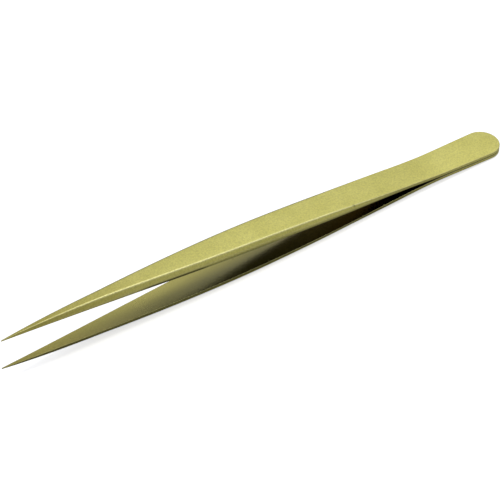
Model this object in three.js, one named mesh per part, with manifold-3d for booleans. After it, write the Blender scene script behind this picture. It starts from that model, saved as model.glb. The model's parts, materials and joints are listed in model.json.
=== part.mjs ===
// Long, slim needle-point tongs: two bowed brass leaves, brazed face to face at the tail, whose tips
// spring apart. Millimetres, +Z up. The tips point along -X, the tail along +X, and the leaves' width
// lies along Y. The tongs lie as they do on a table, so the lower leaf's belly and the end of its tail
// touch z = 0. Each leaf is cut where its thin root flexes, so that the arm beyond it can turn, and the
// arm is cut again into waist, grip and point, so that each stretch is nearly straight.

import * as THREE from 'three'
import { mergeVertices } from 'three/addons/utils/BufferGeometryUtils.js'
import Module from 'manifold-3d'

const wasm = await Module()
wasm.setup()

// Driving dimensions. Places along the tongs, named ..._AT, are measured from the end of the tail.
const LENGTH = 140
const TAIL_WIDTH = 8.85
const WAIST_WIDTH = 7.9
const WAIST_AT = 29
const GRIP_WIDTH = 9.25
const GRIP_AT = 61
const TIP_WIDTH = 0.5
const TAPER = 0.0775 // half-width gained per millimetre behind the tip
const SHOULDER = 1.5 // how softly the grip runs into the taper

const BRAZE = 0.1 // thickness of the film of braze between the leaves
const BRAZE_LENGTH = 21
const BRAZE_SETBACK = 0.15 // the film stops this far inside the leaves' edges
const SEAT_GAP = 0.01 // between the film and each leaf
const TIP_GAP = 8.2 // between the inner faces at the tips
const BOW = 2.15 // power of the leaves' curve: the higher, the sooner they come level

const TAIL_THICKNESS = 0.88
const THIN_TO = 24 // the root stays thin as far as here
const GRIP_THICKNESS = 1.78
const THICK_AT = 78
const THINNING_FROM = 85
const TIP_THICKNESS = 0.16

const BEVEL = 0.79 // how far each bevel comes in from the side of the leaf
const BEVEL_FROM = 30
const BEVEL_FULL_AT = 57
const BEVEL_AT_TIP = 0.38 // the most a bevel takes, as a share of the half-width
const SIDE_SHARE = 0.5 // share of the thickness that is upright side, at the grip
const TIP_SIDE_SHARE = 0.15

const FLEX_AT = 31 // the arms turn here
const KERF = 0.2 // cut between tail and arm
const GRIP_FROM = 56 // the arm's waist ends and its grip begins
const POINT_FROM = 84 // the grip ends and the point begins
const CUT_GAP = 0.04 // between waist, grip and point, which move together
const STEP = 1.75 // length of one facet of a leaf

const BRASS = { color: 0xc5bf72, roughness: 0.36, metalness: 1 }
const BRAZE_METAL = { color: 0x8f8a5e, roughness: 0.55, metalness: 1 }

const { clamp, lerp, smoothstep } = THREE.MathUtils

// The smaller of two lengths, with a rounded change from one to the other.
function softMin(a, b, rounding) {
  return (a + b - Math.hypot(a - b, rounding)) / 2
}

// Half-width of a leaf's inner face: it narrows from the tail to the waist, widens to the grip, and
// tapers in a straight line to the tip.
function halfWidth(at) {
  if (at < WAIST_AT) return lerp(TAIL_WIDTH, WAIST_WIDTH, smoothstep(at, 0, WAIST_AT)) / 2
  const body = lerp(WAIST_WIDTH, GRIP_WIDTH, smoothstep(at, WAIST_AT, GRIP_AT)) / 2
  const taper = TIP_WIDTH / 2 + TAPER * (LENGTH - at)
  return softMin(body, taper, SHOULDER * smoothstep(at, WAIST_AT, GRIP_AT))
}

// Height of the inner face over the middle plane: flat on the braze, then bowed along a power curve
// that comes level again at the tip.
function innerHeight(at) {
  const along = clamp((at - BRAZE_LENGTH) / (LENGTH - BRAZE_LENGTH), 0, 1)
  const seat = BRAZE / 2
  return seat + (TIP_GAP / 2 - seat) * (1 - (1 - along) ** BOW)
}

// The leaf is thin at the root, thickest in the grip, and thins faster and faster towards the tip.
function thickness(at) {
  const root = lerp(TAIL_THICKNESS, GRIP_THICKNESS, smoothstep(at, THIN_TO, THICK_AT))
  const towardsTip = clamp((at - THINNING_FROM) / (LENGTH - THINNING_FROM), 0, 1)
  return lerp(root, TIP_THICKNESS, towardsTip ** 4)
}

function bevel(at) {
  const full = BEVEL * smoothstep(at, BEVEL_FROM, BEVEL_FULL_AT)
  return Math.min(full, BEVEL_AT_TIP * halfWidth(at))
}

function sideHeight(at) {
  const towardsTip = clamp((at - THICK_AT) / (LENGTH - THICK_AT), 0, 1)
  return thickness(at) * lerp(SIDE_SHARE, TIP_SIDE_SHARE, towardsTip)
}

function toSolid(geometry) {
  const bare = geometry.clone()
  bare.deleteAttribute('normal')
  bare.deleteAttribute('uv')
  const merged = mergeVertices(bare)
  return new wasm.Manifold(new wasm.Mesh({
    numProp: 3,
    vertProperties: Float32Array.from(merged.attributes.position.array),
    triVerts: Uint32Array.from(merged.index.array),
  }))
}

function toGeometry(solid) {
  const mesh = solid.getMesh()
  const geometry = new THREE.BufferGeometry()
  geometry.setAttribute('position', new THREE.BufferAttribute(mesh.vertProperties, 3))
  geometry.setIndex(new THREE.BufferAttribute(mesh.triVerts, 1))
  geometry.computeVertexNormals()
  return geometry
}

// A block as wide and as high as anything here, from one place along the tongs to another.
function stretch(from, to) {
  const reach = 40
  const block = new THREE.BoxGeometry(to - from, reach, reach)
  return toSolid(block.translate(LENGTH / 2 - (from + to) / 2, 0, 0))
}

// A plate with a half-round end towards the tail, its straight sides running past the tip.
function roundEnded(width, from, depth) {
  const radius = width / 2
  const outline = new THREE.Shape()
  outline.moveTo(-LENGTH, radius)
  outline.lineTo(-LENGTH, -radius)
  outline.absarc(LENGTH / 2 - from - radius, 0, radius, -Math.PI / 2, Math.PI / 2)
  const plate = new THREE.ExtrudeGeometry(outline, { depth, bevelEnabled: false, curveSegments: 24 })
  return toSolid(plate.translate(0, 0, -depth / 2))
}

// One whole leaf, on the upper side of the middle plane. A bar with two layers through its thickness
// is drawn out along the leaf: the inner face and the top of the upright side keep the full width, and
// the outer face is narrower by the bevels.
function leaf() {
  const bar = new THREE.BoxGeometry(LENGTH, 2, 2, LENGTH / STEP, 1, 2)
  const points = bar.attributes.position
  for (let i = 0; i < points.count; i++) {
    const at = LENGTH / 2 - points.getX(i)
    const side = points.getY(i)
    const layer = Math.round(points.getZ(i))
    const rise = { '-1': 0, '0': sideHeight(at), '1': thickness(at) }[layer]
    const half = layer === 1 ? halfWidth(at) - bevel(at) : halfWidth(at)
    points.setY(i, side * half)
    points.setZ(i, innerHeight(at) + rise)
  }
  return toSolid(bar).intersect(roundEnded(TAIL_WIDTH, 0, LENGTH))
}

function named(name, solid, finish) {
  const mesh = new THREE.Mesh(toGeometry(solid), new THREE.MeshStandardMaterial(finish))
  mesh.name = name
  return mesh
}

// The stretches of one leaf. Turned half over about the length, they are the lower leaf's.
function cutLeaf(prefix, turn) {
  const whole = leaf()
  const halfCut = CUT_GAP / 2
  const stretches = {
    tail: stretch(-1, FLEX_AT - KERF / 2),
    waist: stretch(FLEX_AT + KERF / 2, GRIP_FROM - halfCut),
    grip: stretch(GRIP_FROM + halfCut, POINT_FROM - halfCut),
    point: stretch(POINT_FROM + halfCut, LENGTH + 1),
  }
  const pieces = new THREE.Group()
  for (const [name, block] of Object.entries(stretches)) {
    pieces.add(named(`${prefix}_leaf_${name}`, whole.intersect(block), BRASS))
  }
  pieces.rotation.x = turn
  return pieces
}

function brazeFilm() {
  const plate = roundEnded(TAIL_WIDTH - 2 * BRAZE_SETBACK, BRAZE_SETBACK, BRAZE - 2 * SEAT_GAP)
  const narrow = WAIST_WIDTH - 2 * BRAZE_SETBACK
  const sides = new THREE.BoxGeometry(BRAZE_LENGTH, narrow, BRAZE - 2 * SEAT_GAP)
  sides.translate(LENGTH / 2 - BRAZE_LENGTH / 2, 0, 0)
  return named('braze_film', plate.intersect(toSolid(sides)), BRAZE_METAL)
}

// The steepest line from the end of the tail down to the belly is the table, so it sets the tilt.
function restingTilt() {
  const foot = innerHeight(0) + thickness(0)
  let slope = 0
  for (let at = STEP; at <= LENGTH; at += STEP) {
    slope = Math.max(slope, (innerHeight(at) + thickness(at) - foot) / at)
  }
  return Math.atan(slope)
}

const tilt = restingTilt()
const tongs = new THREE.Group()
tongs.add(cutLeaf('upper', 0), cutLeaf('lower', Math.PI), brazeFilm())
tongs.rotation.y = tilt

const lying = new THREE.Group()
lying.add(tongs)
const low = new THREE.Box3().setFromObject(lying, true)
tongs.position.x = -(low.min.x + low.max.x) / 2
tongs.position.z = -low.min.z

export default lying
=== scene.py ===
"""Slim needle-point tongs of satin brass: two bowed leaves brazed together at a rounded tail.

The leaves' sizes are in millimetres, measured from the end of the tail, and the finished pieces are in
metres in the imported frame: tips towards -X, tail towards +X, the leaves' width along Y, +Z up.
"""

import json
import math

import bmesh
import bpy
import numpy as np
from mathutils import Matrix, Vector


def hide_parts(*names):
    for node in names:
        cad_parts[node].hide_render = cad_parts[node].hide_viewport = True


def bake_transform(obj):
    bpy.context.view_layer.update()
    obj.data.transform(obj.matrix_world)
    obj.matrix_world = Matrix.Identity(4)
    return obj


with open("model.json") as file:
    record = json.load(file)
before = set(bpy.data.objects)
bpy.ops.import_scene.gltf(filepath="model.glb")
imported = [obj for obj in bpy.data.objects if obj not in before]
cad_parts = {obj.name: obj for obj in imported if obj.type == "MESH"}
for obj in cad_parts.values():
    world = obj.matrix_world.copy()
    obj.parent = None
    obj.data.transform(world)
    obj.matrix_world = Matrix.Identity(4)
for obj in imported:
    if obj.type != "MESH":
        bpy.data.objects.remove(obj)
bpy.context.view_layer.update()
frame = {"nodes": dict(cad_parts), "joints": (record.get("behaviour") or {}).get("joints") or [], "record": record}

MM = 0.001

# The tongs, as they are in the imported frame.
LENGTH = 140.0
TAIL_WIDTH = 8.85
WAIST_WIDTH, WAIST_AT = 7.9, 29.0
GRIP_WIDTH, GRIP_AT = 9.25, 61.0
TIP_WIDTH = 0.5
TAPER = 0.0775
SHOULDER = 1.5
BRAZE = 0.1
BRAZE_LENGTH = 21.0
TIP_GAP = 8.2
BOW = 2.15
TAIL_THICKNESS, THIN_TO = 0.88, 24.0
GRIP_THICKNESS, THICK_AT = 1.78, 78.0
THINNING_FROM, TIP_THICKNESS = 85.0, 0.16
BEVEL, BEVEL_FROM, BEVEL_FULL_AT, BEVEL_AT_TIP = 0.79, 30.0, 57.0, 0.38
SIDE_SHARE, TIP_SIDE_SHARE = 0.5, 0.15
FLEX_AT = 31.0

# The finish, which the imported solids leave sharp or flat.
BEND = 3.0  # how gradually the bow starts where the braze ends
INNER_ARRIS, KNEE, OUTER_ARRIS = 0.07, 0.16, 0.36  # how far each rounding reaches along the faces it joins
DRAFT = 0.04  # how far the sides lean in towards the outer face, for each millimetre of height
OUTER_CROWN = 130.0  # radius of the outer face across its width
INNER_HOLLOW = 80.0  # radius of the hollow across the inner face, past the root
SHADE_LINE_FROM, SHADE_LINE_DARK_FROM, SHADE_LINE_DARK_TO, SHADE_LINE_TO = 86, 90, 101, 107  # a painted shade line along the upper leaf's lower edge
SHADE_LINE_HEIGHT = 0.65
NICK_AT, NICK_REACH, NICK_DARKNESS = 46.2, 0.4, 0.8  # a small nick in the upper leaf's outer arris
OUTSIDE_FROM = 1 / 6  # the share of the thickness above which the outer face's finish is whole

# How finely the leaves are drawn.
SIDE_POINTS, TAIL_POINTS, TIP_POINTS, ROUNDING_POINTS = 420, 66, 11, 6
MOST_ROUNDED = 0.3  # the most of an edge that a rounding takes
FLAT_FROM = 1.4  # a row of points this many roundings away keeps the flat faces flat
INNER_ROWS = (0, 0.3, 0.6, 0.85)
OUTER_ROWS = (0.15, 0.4, 0.7, 1)
SAME_POINT, NO_LENGTH = 2e-7, 1e-8  # in metres

BOARD = 6.0  # width of the floor and of the table, in metres
TABLE_HEIGHT = 0.00002  # just over the floor

# Where the camera stands, in degrees and metres, and its lens in millimetres.
AZIMUTH, ELEVATION, DISTANCE = -35.27, 42.99, 0.6
LENS, SENSOR = 186.46, 36.0
SHIFT = (-0.0229, -0.0169)

# The Mix node's sockets: its share, then the two things mixed and the result, for colours and for numbers.
SHARE = 0
COLOUR_A, COLOUR_B, COLOUR_OUT = 6, 7, 2
NUMBER_A, NUMBER_B, NUMBER_OUT = 2, 3, 0


def smoothstep(value, low, high):
    t = np.clip((value - low) / (high - low), 0, 1)
    return t * t * (3 - 2 * t)


def mix(low, high, share):
    return low + (high - low) * share


def half_width(at):
    """Tail eases into waist and waist into grip. Past the grip it is the smaller of the grip's half-width and
    a straight taper, with the change between them rounded as a hyperbola."""
    tail = mix(TAIL_WIDTH, WAIST_WIDTH, smoothstep(at, 0, WAIST_AT)) / 2
    body = mix(WAIST_WIDTH, GRIP_WIDTH, smoothstep(at, WAIST_AT, GRIP_AT)) / 2
    taper = TIP_WIDTH / 2 + TAPER * (LENGTH - at)
    rounding = SHOULDER * smoothstep(at, WAIST_AT, GRIP_AT)
    return np.where(at < WAIST_AT, tail, (body + taper - np.hypot(body - taper, rounding)) / 2)


def inner_height(at):
    """Flat on the braze, then 1 - (1 - along) ** BOW of the way up to half the gap at the tips, with the bend
    between the two eased as a hyperbola."""
    free = at - BRAZE_LENGTH
    along = np.clip((free + np.hypot(free, BEND)) / 2 / (LENGTH - BRAZE_LENGTH), 0, 1)
    return mix(BRAZE / 2, TIP_GAP / 2, 1 - (1 - along) ** BOW)


def thickness(at):
    """Thin at the root, eased up to the grip's thickness, and falling to the tip by a fourth power."""
    root = mix(TAIL_THICKNESS, GRIP_THICKNESS, smoothstep(at, THIN_TO, THICK_AT))
    towards_tip = np.clip((at - THINNING_FROM) / (LENGTH - THINNING_FROM), 0, 1)
    return mix(root, TIP_THICKNESS, towards_tip**4)


def bevel(at):
    return np.minimum(BEVEL * smoothstep(at, BEVEL_FROM, BEVEL_FULL_AT), BEVEL_AT_TIP * half_width(at))


def side_height(at):
    towards_tip = np.clip((at - THICK_AT) / (LENGTH - THICK_AT), 0, 1)
    return thickness(at) * mix(SIDE_SHARE, TIP_SIDE_SHARE, towards_tip)


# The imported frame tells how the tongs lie. The top of the tail gives their tilt. Halfway between the two
# flexures is the middle plane, FLEX_AT from the end of the tail.
tail_face = next(m for m in frame["record"]["mounts"] if m["name"] == "tail_top")["axis"]
TILT = math.atan2(tail_face[0], tail_face[2])
flex = np.mean([j["pos_m"] for j in frame["joints"]], axis=0) / MM


def lay_down(at, y, z):
    """Points of the tongs' own frame, by distance from the tail's end, side and height over the middle plane,
    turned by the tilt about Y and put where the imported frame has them, in metres."""
    back = FLEX_AT - at
    x = flex[0] + back * math.cos(TILT) + z * math.sin(TILT)
    height = flex[2] - back * math.sin(TILT) + z * math.cos(TILT)
    return np.stack(np.broadcast_arrays(x, y, height), axis=-1) * MM


def outline():
    """The leaf's outline from above, as one closed round: along one side from tip to tail, a half circle
    round the tail's end, back along the other side, and a half circle round the tip. Returns each point's
    place along the leaf and to the side, and its foot: the point on the centre line that faces it."""
    radius = TAIL_WIDTH / 2
    nose = float(half_width(LENGTH))
    side = np.linspace(LENGTH - nose, radius, SIDE_POINTS)
    turn = np.linspace(math.pi / 2, -math.pi / 2, TAIL_POINTS)[1:-1]
    tail_at = radius - radius * np.cos(turn)
    tail_y = half_width(tail_at) * np.sin(turn)
    nose_turn = np.linspace(-math.pi / 2, math.pi / 2, TIP_POINTS)[1:-1]
    at = np.concatenate([side, tail_at, side[::-1], LENGTH - nose + nose * np.cos(nose_turn)])
    y = np.concatenate([half_width(side), tail_y, -half_width(side[::-1]), nose * np.sin(nose_turn)])
    return at, y, np.clip(at, radius, LENGTH - nose)


def rounded_rim(at, reach):
    """The leaf's section from its centre line out over the inner face, up the side, up the bevel and back
    over the outer face: the five corners' polyline, with each of its three inner corners replaced by the
    parabola that touches both edges. Returns inset from the outline, height, and how near each point is to
    an arris, which sets the painted highlight there and is less at the knee between side and bevel."""
    width, height, top = bevel(at), side_height(at), thickness(at)
    none = np.zeros_like(at)
    lean = DRAFT * height * smoothstep(at, THIN_TO, BEVEL_FULL_AT)
    corners = [(reach, none), (none, none), (lean, height), (np.maximum(width, lean), top), (reach, top)]
    corners = [np.stack(c, axis=-1) for c in corners]
    rows, arris_highlight = [], []
    # brightness is each rounding's share of the painted highlight: full at the arrises, half at the knee
    for k, length, brightness in ((1, INNER_ARRIS, 1.0), (2, KNEE, 0.5), (3, OUTER_ARRIS, 1.0)):
        before, here, after = corners[k - 1 : k + 2]
        back, ahead = before - here, after - here
        back_length = np.linalg.norm(back, axis=-1, keepdims=True)
        ahead_length = np.linalg.norm(ahead, axis=-1, keepdims=True)
        cut = np.minimum(length, MOST_ROUNDED * np.minimum(back_length, ahead_length))
        start = here + back * cut / back_length
        end = here + ahead * cut / ahead_length
        rows.append(here + (start - here) * FLAT_FROM)
        arris_highlight.append(0.0)
        for s in np.linspace(0, 1, ROUNDING_POINTS):
            rows.append((1 - s) ** 2 * start + 2 * s * (1 - s) * here + s * s * end)
            arris_highlight.append(4 * s * (1 - s) * brightness)
        rows.append(here + (end - here) * FLAT_FROM)
        arris_highlight.append(0.0)
    inner = [mix(corners[0], rows[0], share) for share in INNER_ROWS]
    outer = [mix(rows[-1], corners[4], share) for share in OUTER_ROWS]
    rows = inner + rows + outer
    arris_highlight = [0.0] * len(inner) + arris_highlight + [0.0] * len(outer)
    profile = np.stack(rows, axis=1)
    return profile[..., 0], profile[..., 1], np.array(arris_highlight)


def closed_mesh(name, points, attributes=()):
    """A grid of points that closes on itself round its first axis, made a mesh. Points that fall together,
    along the centre line and at the round ends' centres, are merged, which closes both faces."""
    around, across = points.shape[:2]
    index = np.arange(around * across).reshape(around, across)
    ahead = np.roll(index, -1, axis=0)
    faces = np.stack([index[:, :-1], index[:, 1:], ahead[:, 1:], ahead[:, :-1]], axis=-1).reshape(-1, 4)
    mesh = bpy.data.meshes.new(name)
    mesh.from_pydata(points.reshape(-1, 3), [], faces)
    for label, values in attributes:
        mesh.attributes.new(label, "FLOAT", "POINT").data.foreach_set(
            "value", np.ascontiguousarray(values, np.float32).reshape(-1))
    work = bmesh.new()
    work.from_mesh(mesh)
    bmesh.ops.remove_doubles(work, verts=work.verts, dist=SAME_POINT)
    bmesh.ops.dissolve_degenerate(work, edges=work.edges, dist=NO_LENGTH)
    bmesh.ops.recalc_face_normals(work, faces=work.faces)
    work.to_mesh(mesh)
    work.free()
    mesh.polygons.foreach_set("use_smooth", np.ones(len(mesh.polygons), bool))
    piece = bpy.data.objects.new(name, mesh)
    bpy.context.scene.collection.objects.link(piece)
    return piece


def marks(places, sides, inset, rise, outward):
    """How dark the two marks on the near side are: a painted shade line that is darkest at the inner face's
    edge and fades up the side and towards both its ends, and a round nick centred on the outer arris."""
    # the painted shade line, to which the nick is added at the end
    shade_line_and_nick = smoothstep(places, SHADE_LINE_FROM, SHADE_LINE_DARK_FROM) * (1 - smoothstep(places, SHADE_LINE_DARK_TO, SHADE_LINE_TO))
    shade_line_and_nick = shade_line_and_nick * np.clip(2 - 2 * rise / SHADE_LINE_HEIGHT, 0, 1)
    shade_line_and_nick = np.where((sides < 0) & (inset < SHADE_LINE_HEIGHT), shade_line_and_nick, 0)
    from_nick = np.hypot(places - NICK_AT, inset - bevel(places))
    nick = NICK_DARKNESS * np.clip(1 - from_nick / NICK_REACH, 0, 1) * (sides < 0) * outward
    return shade_line_and_nick + nick


def leaf(name, side):
    """One whole leaf: each outline point carries the rounded section, drawn from the outline in to the
    point's foot on the centre line. The outer face is crowned and the inner face hollowed, each as a
    parabola across. side is 1 for the upper leaf and -1 for the lower one, which is its mirror image but
    for the marks."""
    at, y, foot = outline()
    reach = np.hypot(at - foot, y)
    inset, rise, arris_highlight = rounded_rim(foot, reach)
    share = inset / reach[:, None]
    places = mix(at[:, None], foot[:, None], share)
    sides = mix(y[:, None], 0.0, share)
    from_middle = reach[:, None] - inset
    outward = rise / thickness(foot)[:, None]
    outer_crown = -outward * from_middle**2 / (2 * OUTER_CROWN)
    past_root = smoothstep(foot, THIN_TO, BEVEL_FULL_AT)[:, None] * (1 - outward)
    inner_hollow = past_root * (reach[:, None] ** 2 / 2 - from_middle**2) / (2 * INNER_HOLLOW)
    heights = inner_height(places) + rise + outer_crown + inner_hollow
    return closed_mesh(name, lay_down(places, sides, side * heights), (
        # the painted highlight along the arrises
        ("arris", np.broadcast_to(arris_highlight, inset.shape)),
        ("outside", np.clip(outward / OUTSIDE_FROM, 0, 1)),
        ("along", places),
        # the painted shade line and the nick, on the upper leaf only
        ("shade_line_and_nick", marks(places, sides, inset, rise, outward) * (side > 0)),
    ))


def srgb(code):
    """A colour's linear values, with alpha, from its sRGB hex code."""
    parts = [int(code[i : i + 2], 16) / 255 for i in (1, 3, 5)]
    return [p / 12.92 if p <= 0.04045 else ((p + 0.055) / 1.055) ** 2.4 for p in parts] + [1.0]


def grey(level):
    return (level, level, level, 1)


def node(tree, kind, settings=(), inputs=(), links=(), stops=()):
    """Adds a node, with its settings, its sockets' values, the links into them and a ramp's (place, colour)
    stops."""
    new = tree.nodes.new(kind)
    for key, value in dict(settings).items():
        setattr(new, key, value)
    for key, value in dict(inputs).items():
        new.inputs[key].default_value = value
    for key, source in dict(links).items():
        tree.links.new(source, new.inputs[key])
    while stops and len(new.color_ramp.elements) < len(stops):
        new.color_ramp.elements.new(0.5)
    for k, (place, colour) in enumerate(stops):
        new.color_ramp.elements[k].position = place
        new.color_ramp.elements[k].color = colour
    return new


def new_material(name):
    material = bpy.data.materials.new(name)
    material.use_nodes = True
    material.node_tree.nodes.clear()
    return material, material.node_tree


def inner_colours_with_painted_shade(tree, place, along):
    """Brownish between the leaves, with painted shade that is darkest midway along them and lighter towards the
    tips, and a painted reflection that makes the far side lighter than the near side. Both are painted in."""
    way = node(tree, "ShaderNodeMapRange", inputs={"From Max": LENGTH},
               links={"Value": along}).outputs["Result"]
    # painted shade for the near side of the inner faces: darkest midway between the leaves, lighter towards the
    # tips
    near_side_shade = node(tree, "ShaderNodeValToRGB", links={"Fac": way}, stops=[
        (0.16, srgb("#97896A")), (0.5, srgb("#5A573E")), (0.62, srgb("#625F40")),
        (0.7, srgb("#706C43")), (0.8, srgb("#948D55")), (0.92, srgb("#B8AE60"))]).outputs["Color"]
    # painted reflection for the far side: the same run along the leaves, lighter
    far_side_light = node(tree, "ShaderNodeValToRGB", links={"Fac": way}, stops=[
        (0.16, srgb("#97896A")), (0.5, srgb("#787345")), (0.62, srgb("#8F8950")),
        (0.7, srgb("#A49D59")), (0.8, srgb("#AEA65B")), (0.92, srgb("#C4B962"))]).outputs["Color"]
    across = node(tree, "ShaderNodeSeparateXYZ", links={"Vector": place}).outputs["Y"]
    # the painted reflection takes over towards the far side
    towards_far_side = node(tree, "ShaderNodeMapRange", {"interpolation_type": "SMOOTHSTEP"},
                  {"From Min": -0.0015, "From Max": 0.003}, {"Value": across}).outputs["Result"]
    return node(tree, "ShaderNodeMix", {"data_type": "RGBA"},
                links={SHARE: towards_far_side, COLOUR_A: near_side_shade, COLOUR_B: far_side_light}).outputs[COLOUR_OUT]


def pits(tree, place, outside):
    """A few dark pits of 0.2 mm in the inner faces: the cores of some of a pattern's 3 mm cells."""
    cells = node(tree, "ShaderNodeTexVoronoi", inputs={"Scale": 330.0}, links={"Vector": place}).outputs
    core = node(tree, "ShaderNodeMapRange", inputs={"From Min": 0.045, "From Max": 0.03},
                links={"Value": cells["Distance"]}).outputs["Result"]
    chosen = node(tree, "ShaderNodeSeparateColor", links={"Color": cells["Color"]}).outputs["Red"]
    few = node(tree, "ShaderNodeMath", {"operation": "GREATER_THAN"}, {1: 0.45}, {0: chosen}).outputs["Value"]
    pit = node(tree, "ShaderNodeMath", {"operation": "MULTIPLY"}, links={0: core, 1: few}).outputs["Value"]
    return node(tree, "ShaderNodeMath", {"operation": "SUBTRACT", "use_clamp": True},
                links={0: pit, 1: outside}).outputs["Value"]


def roughness(tree, along, outside, arris, grain):
    """The inner faces are smoother towards the root, and the arrises smoother than the outer faces, so that
    each carries a thin bright line."""
    inner = node(tree, "ShaderNodeMapRange", inputs={
        "From Min": 75.0, "From Max": 120.0, "To Min": 0.09, "To Max": 0.32}, links={"Value": along})
    polish = node(tree, "ShaderNodeMapRange", inputs={"To Max": 0.44},
                  links={"Value": outside, "To Min": inner.outputs["Result"]}).outputs["Result"]
    marked = node(tree, "ShaderNodeMapRange", inputs={"To Min": 0.0, "To Max": 0.08},
                  links={"Value": grain}).outputs["Result"]
    rough = node(tree, "ShaderNodeMath", {"operation": "ADD"}, links={0: polish, 1: marked}).outputs["Value"]
    return node(tree, "ShaderNodeMix", {"data_type": "FLOAT"}, {NUMBER_B: 0.34},
                {SHARE: arris, NUMBER_A: rough}).outputs[NUMBER_OUT]


def satin_brass():
    """Satin ground brass: cut from strip, ground, and worked down with fine abrasive. The eye gets a soft,
    broad sheen with no clear reflections, faint cloudiness, and painted highlights: bright lines along the
    arrises."""
    material, tree = new_material("satin_ground_brass")
    place = node(tree, "ShaderNodeTexCoord").outputs["Object"]
    arris, outside, along, shade_line_and_nick = (
        node(tree, "ShaderNodeAttribute", {"attribute_name": name}).outputs["Fac"]
        for name in ("arris", "outside", "along", "shade_line_and_nick"))
    # cloudiness of the finish, patches of about 6 mm
    cloud = node(tree, "ShaderNodeTexNoise", inputs={"Scale": 160.0, "Detail": 3.0, "Roughness": 0.55},
                 links={"Vector": place}).outputs["Fac"]
    # abrasive marks: really under 0.05 mm, drawn about 0.4 mm wide so that they show
    grain = node(tree, "ShaderNodeTexNoise", inputs={"Scale": 2300.0, "Detail": 4.0, "Roughness": 0.7},
                 links={"Vector": place}).outputs["Fac"]
    body = node(tree, "ShaderNodeValToRGB", links={"Fac": cloud}, stops=[
        (0.3, srgb("#DFD97B")), (0.7, srgb("#E9E386"))]).outputs["Color"]
    point_colour = node(tree, "ShaderNodeValToRGB", links={"Fac": cloud}, stops=[
        (0.3, srgb("#D2C86B")), (0.7, srgb("#DAD075"))]).outputs["Color"]
    # the points are darker and yellower than the rest
    pointed = node(tree, "ShaderNodeMapRange", {"interpolation_type": "SMOOTHSTEP"},
                   {"From Min": 90.0, "From Max": 135.0}, {"Value": along}).outputs["Result"]
    outer = node(tree, "ShaderNodeMix", {"data_type": "RGBA"},
                 links={SHARE: pointed, COLOUR_A: body, COLOUR_B: point_colour}).outputs[COLOUR_OUT]
    # the inner faces take painted shade and a painted reflection, the outer faces their own colour
    colour = node(tree, "ShaderNodeMix", {"data_type": "RGBA"}, links={
        SHARE: outside, COLOUR_A: inner_colours_with_painted_shade(tree, place, along), COLOUR_B: outer}).outputs[COLOUR_OUT]
    # the abrasive's marks darken the metal a little where they lie deep
    deep = node(tree, "ShaderNodeMapRange", inputs={"From Min": 0.62, "From Max": 0.35, "To Max": 0.26},
                links={"Value": grain}).outputs["Result"]
    # painted highlights on the arrises, dark pits, deep marks, and the painted shade line with the dark nick, each
    # laid over what is under it
    for share, code in ((arris, "#F2EDA6"), (pits(tree, place, outside), "#2F2B1C"),
                        (deep, "#6E6838"), (shade_line_and_nick, "#2B2614")):
        colour = node(tree, "ShaderNodeMix", {"data_type": "RGBA"}, {COLOUR_B: srgb(code)},
                      {SHARE: share, COLOUR_A: colour}).outputs[COLOUR_OUT]
    bump = node(tree, "ShaderNodeBump", inputs={"Strength": 0.35, "Distance": 0.00004},
                links={"Height": grain}).outputs["Normal"]
    shader = node(tree, "ShaderNodeBsdfPrincipled", inputs={"Metallic": 1.0}, links={
        "Base Color": colour, "Roughness": roughness(tree, along, outside, arris, grain), "Normal": bump})
    node(tree, "ShaderNodeOutputMaterial", links={"Surface": shader.outputs["BSDF"]})
    return material


def dull_braze():
    """Silver-brass filler, oxidised where it met the flux: duller and greyer than the leaves it joins."""
    material, tree = new_material("dull_braze")
    place = node(tree, "ShaderNodeTexCoord").outputs["Object"]
    patch = node(tree, "ShaderNodeTexNoise", inputs={"Scale": 900.0, "Detail": 4.0}, links={"Vector": place})
    colour = node(tree, "ShaderNodeValToRGB", links={"Fac": patch.outputs["Fac"]}, stops=[
        (0.35, srgb("#6E6748")), (0.7, srgb("#9A9468"))]).outputs["Color"]
    shader = node(tree, "ShaderNodeBsdfPrincipled", inputs={"Metallic": 1.0, "Roughness": 0.6},
                  links={"Base Color": colour})
    node(tree, "ShaderNodeOutputMaterial", links={"Surface": shader.outputs["BSDF"]})
    return material


def pale_floor():
    """A matt white board lit from below, as a light table is, so that shadows on it are faint. The metal
    doesn't mirror it."""
    bpy.ops.mesh.primitive_plane_add(size=BOARD)
    floor = bpy.context.object
    floor.name = "floor"
    material, tree = new_material("matt_white_board")
    place = node(tree, "ShaderNodeTexCoord").outputs["Object"]
    tooth = node(tree, "ShaderNodeTexNoise", inputs={"Scale": 400.0, "Detail": 2.0}, links={"Vector": place})
    colour = node(tree, "ShaderNodeValToRGB", links={"Fac": tooth.outputs["Fac"]}, stops=[
        (0.3, srgb("#F4F4F3")), (0.7, srgb("#F8F8F7"))]).outputs["Color"]
    shader = node(tree, "ShaderNodeBsdfPrincipled", inputs={
        "Roughness": 0.9, "Emission Color": srgb("#FFFFFF"), "Emission Strength": 0.62},
        links={"Base Color": colour})
    node(tree, "ShaderNodeOutputMaterial", links={"Surface": shader.outputs["BSDF"]})
    floor.data.materials.append(material)
    floor.visible_glossy = False


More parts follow.
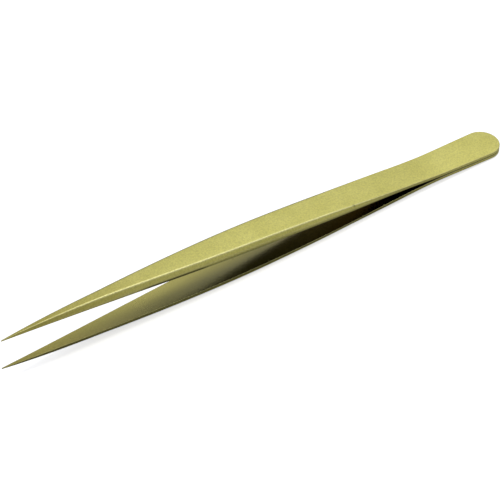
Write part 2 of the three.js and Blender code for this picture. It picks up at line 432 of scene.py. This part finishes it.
def grey_table():
    """What the metal mirrors below it: a grey table top, seen in reflections only and throwing no shadow. It
    carries a painted shadow of the tongs along their near side, lighter again beside the tail, so that the
    upright sides look darker than the outer faces."""
    bpy.ops.mesh.primitive_plane_add(size=BOARD, location=(0, 0, TABLE_HEIGHT))
    table = bpy.context.object
    table.name = "table"
    material, tree = new_material("grey_table_top")
    place = node(tree, "ShaderNodeTexCoord").outputs["Object"]
    parts = node(tree, "ShaderNodeSeparateXYZ", links={"Vector": place}).outputs
    strip = node(tree, "ShaderNodeMapRange", inputs={"From Min": -0.018, "From Max": 0.006},
                 links={"Value": parts["Y"]})
    # a painted shadow of the tongs, darkest under their near half and fading out towards the near side; lighter on
    # the far side
    beside = node(tree, "ShaderNodeValToRGB", links={"Fac": strip.outputs["Result"]}, stops=[
        (0.0, srgb("#C8C8C8")), (0.35, srgb("#BFBFBF")), (0.5, srgb("#9B9B9B")), (0.56, srgb("#6B6B6B")),
        (0.75, srgb("#6B6B6B")), (1.0, srgb("#E6E6E6"))]).outputs["Color"]
    # the painted shadow fades out beside the tail
    by_tail = node(tree, "ShaderNodeMapRange", {"interpolation_type": "SMOOTHSTEP"},
                   {"From Min": 0.035, "From Max": 0.068}, {"Value": parts["X"]}).outputs["Result"]
    shade = node(tree, "ShaderNodeMix", {"data_type": "RGBA"}, {COLOUR_B: srgb("#C8C8C8")},
                 {SHARE: by_tail, COLOUR_A: beside}).outputs[COLOUR_OUT]
    shader = node(tree, "ShaderNodeBsdfDiffuse", links={"Color": shade})
    node(tree, "ShaderNodeOutputMaterial", links={"Surface": shader.outputs["BSDF"]})
    table.data.materials.append(material)
    table.visible_camera = False
    table.visible_diffuse = False
    table.visible_shadow = False


def surroundings():
    """A studio's dome: pale overhead, fading towards the horizon. Below it the near side still gives some
    light, and the far side is nearly dark."""
    world = bpy.data.worlds.new("studio")
    world.use_nodes = True
    tree = world.node_tree
    tree.nodes.clear()
    direction = node(tree, "ShaderNodeTexCoord").outputs["Generated"]
    parts = node(tree, "ShaderNodeSeparateXYZ", links={"Vector": direction}).outputs
    height = node(tree, "ShaderNodeMapRange", inputs={"From Min": -1.0, "From Max": 1.0},
                  links={"Value": parts["Z"]}).outputs["Result"]
    depth = node(tree, "ShaderNodeMapRange", {"interpolation_type": "SMOOTHSTEP"},
                 {"From Min": -0.3, "From Max": 0.3}, {"Value": parts["Y"]}).outputs["Result"]
    near = node(tree, "ShaderNodeValToRGB", links={"Fac": height}, stops=[
        (0.0, grey(0.17)), (0.5, grey(0.32)), (0.62, grey(0.39)),
        (0.76, grey(0.46)), (0.84, grey(0.47)), (1.0, grey(0.44))]).outputs["Color"]
    far = node(tree, "ShaderNodeValToRGB", links={"Fac": height}, stops=[
        (0.0, grey(0.02)), (0.5, (0.05, 0.05, 0.055, 1)), (0.62, (0.11, 0.11, 0.135, 1)),
        (0.76, (0.24, 0.25, 0.37, 1)), (0.86, (0.36, 0.37, 0.46, 1)), (1.0, grey(0.44))]).outputs["Color"]
    glow = node(tree, "ShaderNodeMix", {"data_type": "RGBA"},
                links={SHARE: depth, COLOUR_A: near, COLOUR_B: far}).outputs[COLOUR_OUT]
    shader = node(tree, "ShaderNodeBackground", inputs={"Strength": 1.0}, links={"Color": glow})
    node(tree, "ShaderNodeOutputWorld", links={"Surface": shader.outputs["Background"]})
    bpy.context.scene.world = world


def softbox(name, place, target, size, power):
    light = bpy.data.lights.new(name, "AREA")
    light.shape = "RECTANGLE"
    light.size, light.size_y = size
    light.energy = power
    lamp = bpy.data.objects.new(name, light)
    lamp.location = place
    lamp.rotation_euler = (Vector(target) - Vector(place)).to_track_quat("-Z", "Y").to_euler()
    bpy.context.scene.collection.objects.link(lamp)


def camera():
    """Over the tips' side, looking down on the tongs, level, with a long lens shifted a little to put the
    tongs off the middle of the picture."""
    azimuth = math.radians(AZIMUTH)
    elevation = math.radians(ELEVATION)
    back = Vector((math.sin(azimuth) * math.cos(elevation), -math.cos(azimuth) * math.cos(elevation),
                   math.sin(elevation)))
    data = bpy.data.cameras.new("camera")
    data.sensor_width = SENSOR
    data.lens = LENS
    data.shift_x, data.shift_y = SHIFT
    seer = bpy.data.objects.new("camera", data)
    seer.location = Vector(lay_down(LENGTH / 2, 0.0, 0.0)) + back * DISTANCE
    seer.rotation_euler = back.to_track_quat("Z", "Y").to_euler()
    bpy.context.scene.collection.objects.link(seer)
    bpy.context.scene.camera = seer


brass = satin_brass()
for which, side in (("upper", 1), ("lower", -1)):
    piece = leaf(f"{which}_leaf", side)
    piece.data.materials.append(brass)
    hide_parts(*(f"{which}_leaf_{stretch}" for stretch in ("tail", "waist", "grip", "point")))
    # the points at the end of the braze and as far past the flexure, the span over which the leaf would flex;
    # nothing uses them
    spring = [lay_down(at, 0.0, side * float(inner_height(at)))
              for at in (BRAZE_LENGTH, 2 * FLEX_AT - BRAZE_LENGTH)]
    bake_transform(piece)

film = frame["nodes"]["braze_film"]
film.data.materials.clear()
film.data.materials.append(dull_braze())

pale_floor()
grey_table()
surroundings()
softbox("overhead", (0.0, 0.0, 0.9), (0, 0, 0), (1.2, 0.16), 2.0)
softbox("key", (0.205, 0.170, 0.245), (0.025, -0.023, 0.004), (0.24, 0.22), 0.157)
camera()
bpy.context.scene.view_settings.view_transform = "Standard"
